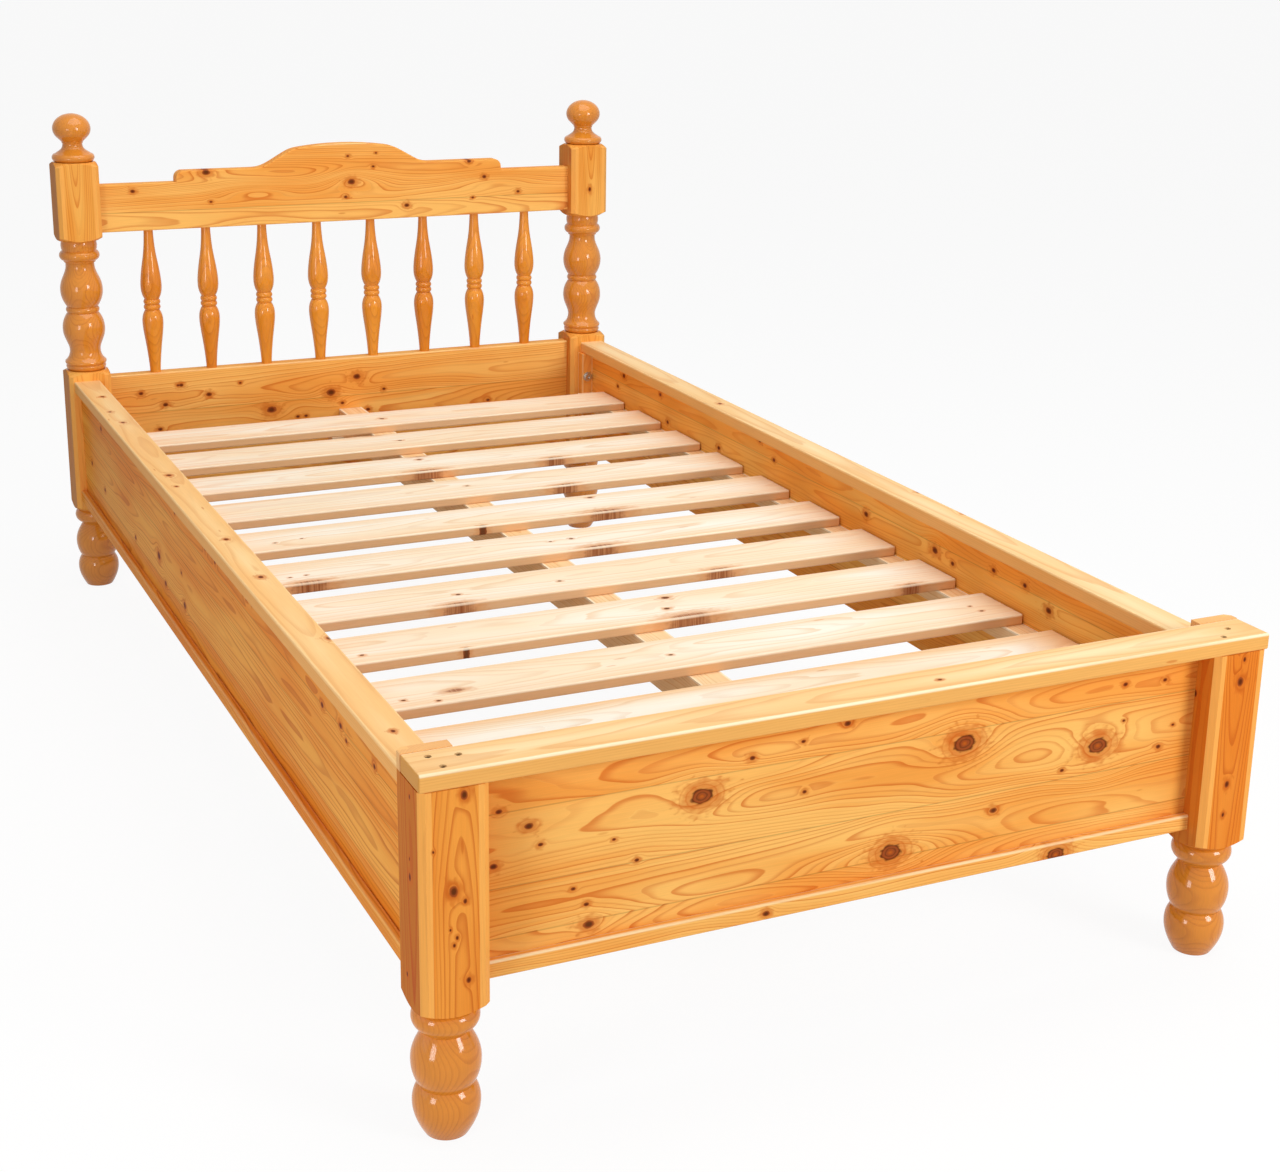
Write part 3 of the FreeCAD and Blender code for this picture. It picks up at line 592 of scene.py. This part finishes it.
def year_rings(board, look, growth, push, bulge):
    """The late wood, from 0 to 1, of rings round a pith line that wanders along the board.

    The two others are a random number for each year and the waves of the grain.
    """
    tree, along = board.tree, board.along - board.middle[board.grain]
    sway = board.noise(SWAY_CELLS) - 0.5
    across = board.over - growth["heart"] - along * growth["lean"][0] + sway * growth["sway"] - push
    inward = board.deep + along * growth["lean"][1] + sway * (1.5 * growth["sway"]) - growth["pith"]
    if growth["chance"]:
        inward = inward + growth["chance"] * 0.02
    radius = maths(tree, "SQRT", across * across + inward * inward)
    waves = board.noise(RIPPLE_CELLS) - 0.5
    rings = radius * (1 / look["ring"]) + waves * growth["ripple"] + bulge
    whole = maths(tree, "FLOOR", rings)
    fraction = rings - whole
    year = tree.nodes.new("ShaderNodeTexWhiteNoise")
    year.noise_dimensions = "1D"
    wire(tree, whole, year.inputs["W"])
    chance = Num(tree, year.outputs["Value"])
    strength = chance * (1 - FAINTEST_YEAR) + FAINTEST_YEAR
    late = smooth(fraction, *LATE_START) * smooth(fraction, *LATE_STOP) * strength
    return late, chance, waves


def strewn_flecks(board, waves):
    """Short streaks of resin, from 0 to 1."""
    tree = board.tree
    cells = tree.nodes.new("ShaderNodeTexVoronoi")
    cells.inputs["Scale"].default_value = 1.0
    wire(tree, scaled(tree, board.point, FLECK_CELLS, board.drift), cells.inputs["Vector"])
    fleck = smooth(Num(tree, cells.outputs["Distance"]) + waves * 0.1, *FLECK_REACH)
    choice = tree.nodes.new("ShaderNodeSeparateColor")
    tree.links.new(cells.outputs["Color"], choice.inputs[0])
    return fleck * smooth(Num(tree, choice.outputs[0]), *FLECK_CHOICE)


def board_tones(board, look, warm, late, flank_shading):
    """The early wood, the painted shade of the margins and of the narrow faces, and the ring lines."""
    tree = board.tree
    colour = mixed(tree, warm, look["pale"], look["warm"])
    # Painted shade: darker towards the edges and ends
    if look["margin_shading"]:
        inwards = least(board.beside, board.from_end * END_MARGIN)
        colour = mixed(tree, smooth(inwards, *MARGIN_REACH) * look["margin_shading"], colour, look["shade"])
    # Painted shade on the narrow faces
    if flank_shading:
        colour = mixed(tree, smooth(board.beside, *FLANK_REACH) * flank_shading, colour, look["flank_shade"])
    return mixed(tree, late * look["lines"], colour, look["late"])


def post_tones(board, levels, colour, late):
    """A post's own tones: sapwood down its square corners, its turned parts deeper, its stub pale.

    Returns the colour and, from 0 to 1, where the post is turned.
    """
    tree, axes = board.tree, board.axes
    side = abs(axes[X] - board.middle[X])
    front = abs(axes[Y] - board.middle[Y])
    sap = smooth(side, *SAP_BESIDE) * smooth(front, *SAP_BEFORE)
    colour = mixed(tree, sap * 0.8, colour, SAP)
    turned = 0.0
    for bottom, top in levels:
        above = smooth(axes[Z], bottom - TURNING_BLUR, bottom + TURNING_BLUR)
        turned = above * smooth(axes[Z], top + TURNING_BLUR, top - TURNING_BLUR) + turned
    spun = mixed(tree, late * 0.28, SPIN, TURNED["late"])
    colour = mixed(tree, turned * 0.92, colour, spun)
    stub = smooth(axes[Z], *STUB_ABOVE) * smooth(axes[Y], *FOOT_END)
    return mixed(tree, stub * 0.6, colour, CAP["warm"]), turned


def knot_colours(tree, colour, look, near, large, grit):
    """A ragged orange halo and a brown core, dark in the middle; a large knot has rings and a dark rim."""
    halo = smooth(near * (grit * 2.6 + 1.0), *HALO_REACH)
    colour = mixed(tree, halo * 0.6, colour, look["halo"])
    inside = mixed(tree, smooth(near, *DARK_REACH), look["core"], look["rim"])
    if large:
        width = maths(tree, "SQRT", large) + grit * 0.3
        arcs = smooth(maths(tree, "SINE", width * 9.0), 0.4, 1.0) * smooth(large, *ARCS_REACH)
        colour = mixed(tree, arcs * 0.35, colour, look["late"])
        turns = smooth(maths(tree, "SINE", width * 15.0), -0.4, 0.9)
        big = mixed(tree, turns * 0.6, look["core"], look["rim"])
        big = mixed(tree, smooth(large, *EYE_REACH) * 0.7, big, look["halo"])
        big = mixed(tree, smooth(large, *RIM_REACH) * 0.85, big, look["rim"])
        inside = mixed(tree, smooth(large, *LARGE_REACH), inside, big)
    core = smooth(near * (grit * 1.1 + 1.0), *CORE_REACH)
    return mixed(tree, core * 0.9, colour, inside), core


def spike_colours(tree, colour, look, point, spikes, grit):
    """Knots sawn lengthwise: a dark patch along the edge, with streaks across the grain, and a halo."""
    near = least(*[from_knot(tree, point, spike, SPIKE_STRETCH) for spike in spikes])
    rough_near = near * (grit * 1.4 + 1.0)
    streaks = noise(tree, point, STREAK_CELLS, (2.0, 3.0, 5.0), 2.0)
    colour = mixed(tree, smooth(rough_near, *SPIKE_HALO_REACH) * 0.6, colour, look["halo"])
    dark = smooth(rough_near, *SPIKE_CORE_REACH) * (smooth(streaks, 0.3, 0.7) * 0.55 + 0.45)
    return mixed(tree, dark * 0.85, colour, look["core"])


def all_knots(board, look, colour, near, large):
    """The knots of a board's broad face, of its side and of its edge.

    Returns the colour and, from 0 to 1, where the cores of the broad face are.
    """
    tree, core = board.tree, None
    grit = board.noise(GRIT_CELLS) - 0.5
    if near:
        colour, core = knot_colours(tree, colour, look, near, large, grit)
    side_knots = KNOTS.get(board.node + "_side")
    if side_knots:
        side_point = vector(tree, board.along, board.deep, board.over)
        side_near = knotted(tree, side_point, board.deep, side_knots)[2]
        colour = knot_colours(tree, colour, look, side_near, None, grit)[0]
    if board.node in SPIKES:
        colour = spike_colours(tree, colour, look, board.point, SPIKES[board.node], grit)
    return colour, core


def worn_edges(board, broad):
    """How much wear and painted highlight the long edges have, from 0 to 1: in patches, and on a lying
    board only the upper ones.
    """
    patches = smooth(broad, *WEAR_AND_HIGHLIGHT_PATCHES) * (1 - LEAST_WEAR_AND_HIGHLIGHT) + LEAST_WEAR_AND_HIGHLIGHT
    worn = smooth(most(board.beside, board.behind), *ARRIS_REACH) * patches
    if board.grain != Z:
        half_way = board.middle[Z]
        worn = worn * smooth(board.axes[Z], half_way - 0.002, half_way + 0.002)
    return worn


def lacquered(board, look, colour, gloss, coat, height):
    """Gives a board its colour, gloss, coat of lacquer and relief."""
    shader = board.shader
    wire(board.tree, colour, shader.inputs["Base Color"])
    wire(board.tree, gloss, shader.inputs["Roughness"])
    wire(board.tree, coat, shader.inputs["Coat Weight"])
    bumped(board.tree, shader, height, *WOOD_RELIEF)
    shader.inputs["Specular IOR Level"].default_value = 0.0
    shader.inputs["Coat Roughness"].default_value = look["gleam"]
    shader.inputs["Coat IOR"].default_value = LACQUER_IOR
    dress(board.node, board.material)


def pine(node, grain, across, look, strips=(), pith=0.03, aside=0.0, tilt=0.02, sway=0.022, ripple=0.9,
         flank_shading=0.0, ends=0.0, post=None):
    """Solid pine for one node. grain is the axis that its fibres run along, across that of its width.

    strips are those of a glued board. pith is how far behind the board's middle its pith lies, aside
    how far beside it, and tilt, sway and ripple how much it leans, wanders and waves. flanks is how
    much painted shade the narrow faces have, and ends how much of their own tone the sawn ends have.
    post holds the levels where a post is round.
    """
    board = Board(node, grain, across)
    tree, draw = board.tree, board.draw
    push, bulge, near, large = bent_grain(board)
    width = board.high[across] - board.low[across]
    heart = board.middle[across] + draw.uniform(-HEART_ASIDE, HEART_ASIDE) * width + aside
    warmth, chance, seam = 0.5, None, None
    if strips:
        heart, warmth, chance, seam = glued(board, strips)
    growth = {
        "heart": heart, "pith": board.middle[board.depth] + pith, "chance": chance, "sway": sway,
        "lean": (draw.uniform(-0.02, 0.02), draw.choice((-1, 1)) * draw.uniform(0.6, 1.2) * tilt),
        "ripple": ripple,
    }
    late, year, waves = year_rings(board, look, growth, push, bulge)

    broad = noise(tree, board.point, BROAD_CELLS, board.drift[1:] + board.drift[:1], 2.0)
    fibre = board.noise(FIBRE_CELLS, 2.0)
    level = fibre * 0.16 + 0.92
    if seam:
        level = level * (1 - smooth(seam, *SEAM_REACH) * 0.25)
    warm = smooth(broad + warmth * 0.5 + (year - 0.5) * 0.14, 0.5, 0.98)
    colour = board_tones(board, look, warm, late, flank_shading)
    coat = look["coat"]
    edge = worn_edges(board, broad)
    gloss = fibre * 0.14 + (look["rough"] - 0.07) - late * 0.06 + edge * 0.06
    if post:
        colour, turned = post_tones(board, post, colour, late)
        coat = turned * 0.75 + look["coat"]
        gloss = gloss - turned * 0.12
    colour = mixed(tree, 1.0, colour, grey(tree, level), "MULTIPLY")
    colour = mixed(tree, strewn_flecks(board, waves) * 0.5, colour, look["halo"])
    colour, core = all_knots(board, look, colour, near, large)
    height = fibre * 0.5 + late * 0.5
    if core:
        height = height - core * 0.6
    # Pale edges, except on posts: wear, and a painted highlight
    if not post:
        colour = mixed(tree, edge * look["arris_wear_and_highlight"], colour, look["worn"])
    if ends:
        colour = mixed(tree, smooth(board.from_end, *SAWN_REACH) * ends, colour, look["end"])
    lacquered(board, look, colour, gloss, coat, height)


# ---- metal

def steel(node, tint, roughness, scratches, bare=1.0):
    """Brushed and clouded steel for one node. bare is how much of it isn't blackened."""
    material, tree, shader, place = new_material("steel_" + node)
    scratch = noise(tree, place, SCRATCH_CELLS, (3.0, 7.0, 11.0), 3.0)
    cloud = noise(tree, place, CLOUD_CELLS, (5.0, 1.0, 9.0), 2.0)
    worn = mixed(tree, 1.0, tint, grey(tree, cloud * 0.4 + 0.78), "MULTIPLY")
    wire(tree, worn, shader.inputs["Base Color"])
    wire(tree, scratch * scratches + roughness, shader.inputs["Roughness"])
    bumped(tree, shader, scratch + cloud, *STEEL_RELIEF)
    shader.inputs["Metallic"].default_value = bare
    shader.inputs["Specular IOR Level"].default_value = 0.5 * bare
    dress(node, material)


# ---- the room

def background_ray(tree):
    """1 for the rays that see the background: those of the camera and of reflections."""
    path = tree.nodes.new("ShaderNodeLightPath")
    seen = [Num(tree, path.outputs[name])
            for name in ("Is Camera Ray", "Is Glossy Ray", "Is Transmission Ray")]
    return most(seen[0], *seen[1:])


def make_world():
    """A soft fill light, and white where the background itself is seen."""
    world = bpy.data.worlds.new("studio")
    bpy.context.scene.world = world
    world.use_nodes = True
    tree = world.node_tree
    fill = tree.nodes["Background"]
    fill.inputs["Color"].default_value = (1.0, 0.99, 0.97, 1.0)
    fill.inputs["Strength"].default_value = FILL_STRENGTH
    seen = tree.nodes.new("ShaderNodeBackground")
    seen.inputs["Color"].default_value = (1.0, 1.0, 1.0, 1.0)
    seen.inputs["Strength"].default_value = 1.0
    chosen = tree.nodes.new("ShaderNodeMixShader")
    wire(tree, background_ray(tree), chosen.inputs[0])
    tree.links.new(fill.outputs[0], chosen.inputs[1])
    tree.links.new(seen.outputs[0], chosen.inputs[2])
    tree.links.new(chosen.outputs[0], tree.nodes["World Output"].inputs[0])


def make_floor():
    """A pale floor that the camera sees as the white background, with a part of its real shading."""
    half, below = 45.0, 0.0006
    mesh = bpy.data.meshes.new("floor")
    corners = [(-half, -half, 0), (half, -half, 0), (half, half, 0), (-half, half, 0)]
    mesh.from_pydata(corners, [], [(0, 1, 2, 3)])
    floor = bpy.data.objects.new("floor", mesh)
    floor.location.z = -below
    bpy.context.scene.collection.objects.link(floor)
    material = bpy.data.materials.new("floor")
    material.use_nodes = True
    tree = material.node_tree
    tree.nodes.remove(tree.nodes["Principled BSDF"])
    lit = tree.nodes.new("ShaderNodeBsdfDiffuse")
    seen = background_ray(tree)
    wire(tree, grey(tree, seen * FLOOR_PALER + FLOOR_GREY), lit.inputs["Color"])
    white = tree.nodes.new("ShaderNodeEmission")
    white.inputs["Strength"].default_value = 1.0
    chosen = tree.nodes.new("ShaderNodeMixShader")
    wire(tree, seen * FLOOR_WHITE, chosen.inputs[0])
    tree.links.new(lit.outputs[0], chosen.inputs[1])
    tree.links.new(white.outputs[0], chosen.inputs[2])
    tree.links.new(chosen.outputs[0], tree.nodes["Material Output"].inputs[0])
    mesh.materials.append(material)


def softbox(name, place, target, width, height, power):
    """A lamp with a rectangular face, turned to a point."""
    light = bpy.data.lights.new(name, "AREA")
    light.shape = "RECTANGLE"
    light.size = width
    light.size_y = height
    light.energy = power
    lamp = bpy.data.objects.new(name, light)
    lamp.location = place
    lamp.rotation_euler = (Vector(target) - Vector(place)).to_track_quat("-Z", "Y").to_euler()
    lamp.visible_camera = False
    bpy.context.scene.collection.objects.link(lamp)


def make_camera():
    """The photograph's viewpoint: yaw is clockwise from +Y, pitch down and roll clockwise, in radians."""
    place = (-1.1061, -2.7341, 1.2363)
    yaw, pitch, roll = 0.438329, 0.289311, 0.016561
    ahead = Vector((math.sin(yaw) * math.cos(pitch), math.cos(yaw) * math.cos(pitch), -math.sin(pitch)))
    level = Vector((math.cos(yaw), -math.sin(yaw), 0))
    above = level.cross(ahead)
    right = level * math.cos(roll) + above * math.sin(roll)
    up = above * math.cos(roll) - level * math.sin(roll)
    data = bpy.data.cameras.new("camera")
    data.sensor_fit = "HORIZONTAL"
    data.sensor_width = 36.0
    data.lens = 56.87
    data.shift_y = -0.06
    camera = bpy.data.objects.new("camera", data)
    turn = Matrix((right, up, -ahead)).transposed().to_4x4()
    camera.matrix_world = Matrix.Translation(place) @ turn
    bpy.context.scene.collection.objects.link(camera)
    bpy.context.scene.camera = camera


# ---- the bed

def dress_ends():
    """The foot panel and the headboard. A strip of a glued board is where it starts, and its warmth."""
    foot_strips = ((0.172, 0.6), (0.211, 0.45), (0.268, 0.4), (0.352, 0.6))
    pine("foot_panel", X, Z, FOOT_PANEL, foot_strips, pith=0.034, tilt=0.03, sway=0.03)
    pine("foot_ledge", X, Z, LEDGE, aside=0.05)
    pine("foot_cap", X, Y, FRONT_CAP, pith=-0.08, tilt=0.01, sway=0.01, flank_shading=0.85, ends=0.85)
    head_strips = ((0.172, 0.3), (0.246, 0.8), (0.322, 0.5))
    pine("headboard_panel", X, Z, HONEY, head_strips, pith=0.034, sway=0.03)
    top_strips = ((0.660, 0.1), (0.694, 0.5))
    pine("headboard_top_rail", X, Z, HONEY, top_strips, pith=0.03, sway=0.02)


def dress_side(side, rail_look, cap_look, ledge_look, flank_shading):
    """One side of the bed: its rail and ledger, its corner cleats and its two posts."""
    rail = "side_rail_" + side
    rail_strips = ((0.172, 0.7), (0.224, 0.35), (0.300, 0.5), (0.346, 0.8))
    pine(rail + "_panel", Y, Z, rail_look, rail_strips, tilt=0.014, sway=0.012)
    pine(rail + "_cap", Y, X, cap_look, pith=-0.08, tilt=0.008, sway=0.006, ripple=0.5, flank_shading=0.7)
    pine(rail + "_ledge", Y, Z, ledge_look, aside=0.05)
    pine("slat_ledger_" + side, Y, Z, RAW, aside=0.05)
    for end in ("foot", "head"):
        pine("corner_cleat_" + end + "_" + side, Z, X, HONEY, pith=0.05)
    head_turnings = (FOOT_TURNING, VASE_TURNING, FINIAL_TURNING)
    for end, look, turnings in (("foot", POST, (FOOT_TURNING,)), ("head", HEAD, head_turnings)):
        pine(end + "_post_" + side, Z, X, look, pith=-0.012, tilt=0.05, sway=0.012, ripple=0.5,
             flank_shading=flank_shading, post=turnings)


def dress_spindles():
    for number in range(1, SPINDLES + 1):
        pine("spindle_" + str(number), Z, X, TURNED, pith=0.02)


def dress_base():
    """The slats and the centre rail that carry the mattress. The second slat shows beside the cap, with
    more painted shade at its margins.
    """
    for number in range(1, SLATS + 1):
        look = SHADED_SLAT if number == 2 else SLAT
        pine("slat_%02d" % number, X, Y, look, pith=-0.05, flank_shading=0.8, ends=0.6)
    pine("centre_rail", Y, X, RAW, pith=0.05)
    for end in ("foot", "head"):
        pine("centre_rail_bearer_" + end, X, Z, RAW, pith=0.05, ends=0.6)
    for node in ("slat_pegs", "centre_rail_pins"):
        pine(node, Z, X, RAW, pith=0.02)


def dress_metal():
    steel("corner_bolts", BOLT, 0.24, 0.2)
    steel("corner_washers", WASHER, 0.28, 0.22)
    steel("corner_inserts", INSERT, 0.35, 0.2)
    for node in ("foot_cap_screws", "ledger_screws", "bearer_screws"):
        steel(node, SCREW, 0.45, 0.2, bare=0.05)


dress_ends()
# The left side gets darker copies and more shade on its posts' sides, painted shade; the right a lighter
# rail, painted light
dress_side("left", SHADED, SHADED_CAP, SHADED_LEDGE, flank_shading=0.7)
dress_side("right", LIT, CAP, LEDGE, flank_shading=0.45)
dress_spindles()
dress_base()
dress_metal()
make_world()
make_floor()
for name, lamp in LAMPS.items():
    softbox(name, *lamp)
make_camera()
bpy.context.scene.view_settings.view_transform = "Standard"
